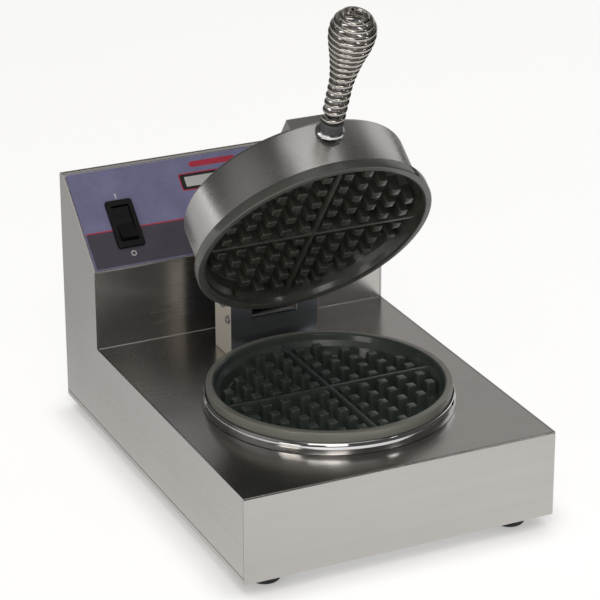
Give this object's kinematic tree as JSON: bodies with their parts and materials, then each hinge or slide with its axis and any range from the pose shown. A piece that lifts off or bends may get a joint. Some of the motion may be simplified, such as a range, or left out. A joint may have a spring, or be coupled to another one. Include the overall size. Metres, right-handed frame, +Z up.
{
  "type": "waffle cone maker",
  "caption": "Countertop round waffle baker: folded steel base with a sloping control panel, deep-pocket grid, hinged drum lid with a coil-spring handle, rocker switch.",
  "frame": {"origin": "middle of the bounding box, on the surface under the feet", "axes": "+X to the right seen from the front, +Y from the front apron to the rear panel, +Z up; the lid is open at rest"},
  "size_m": [0.26, 0.3766, 0.4092],
  "materials": {
    "brushed_steel": "brushed stainless sheet",
    "chrome": "bright plate",
    "steel": "plain zinc-plated steel",
    "black_casting": "cast aluminium with a baked black release coat",
    "bare_casting": "plain casting",
    "rubber": "black rubber",
    "overlay": "printed polycarbonate film",
    "black_plastic": "black moulded plastic",
    "amber_lens": "amber lens",
    "brass": "turned brass",
    "mineral_wool": "mineral wool pad",
    "ceramic": "terminal ceramic"
  },
  "bodies": {
    "base": {"bottom_pan": "steel", "bracket_screw_left": "steel", "bracket_screw_right": "steel", "control_overlay": "overlay", "cord_gland": "black_plastic", "foot_front_left": "rubber", "foot_front_right": "rubber", "foot_rear_left": "rubber", "foot_rear_right": "rubber", "foot_screw_front_left": "steel", "foot_screw_front_right": "steel", "foot_screw_rear_left": "steel", "foot_screw_rear_right": "steel", "gland_nut": "black_plastic", "hinge_bracket": "brushed_steel", "hinge_pin": "steel", "hinge_spacer_left": "brass", "hinge_spacer_right": "brass", "lamp_bezel": "black_plastic", "lamp_lens": "amber_lens", "lid_stop_bar": "steel", "lower_element": "steel", "lower_grid": "black_casting", "lower_heat_shield": "steel", "lower_insulation": "mineral_wool", "lower_shield_screw_left": "steel", "lower_shield_screw_right": "steel", "main_cover": "brushed_steel", "pin_clip_left": "steel", "pin_clip_right": "steel", "rear_panel": "brushed_steel", "rear_screw_1": "steel", "rear_screw_2": "steel", "rear_screw_3": "steel", "rear_screw_4": "steel", "side_panel_left": "brushed_steel", "side_panel_right": "brushed_steel", "stop_screw_left": "steel", "stop_screw_right": "steel", "switch_housing": "black_plastic", "terminal_block": "ceramic", "thermostat": "bare_casting", "trim_ring": "chrome"},
    "lid": {"upper_grid": "black_casting", "upper_element": "steel", "upper_insulation": "mineral_wool", "upper_heat_shield": "steel", "upper_shield_screw_left": "steel", "upper_shield_screw_right": "steel", "upper_housing": "brushed_steel", "hinge_lug": "bare_casting", "arm_cover": "brushed_steel", "arm_screw_front": "steel", "arm_screw_rear": "steel", "handle_collar": "chrome", "handle_stub": "rubber", "handle_rod": "steel", "handle_lock_nut": "steel", "handle_coil": "chrome"},
    "rocker": {"switch_rocker": "black_plastic"}
  },
  "joints": [
    {"name": "lid_hinge", "type": "hinge", "parent": "base", "child": "lid", "pos_m": [0, 0.05675, 0.128], "axis": [1, 0, 0], "range_deg": [0, 53.4]},
    {"name": "power_switch", "type": "hinge", "parent": "base", "child": "rocker", "pos_m": [-0.0922, 0.13449, 0.17367], "axis": [1, 0, 0], "range_deg": [0, 18]}
  ]
}
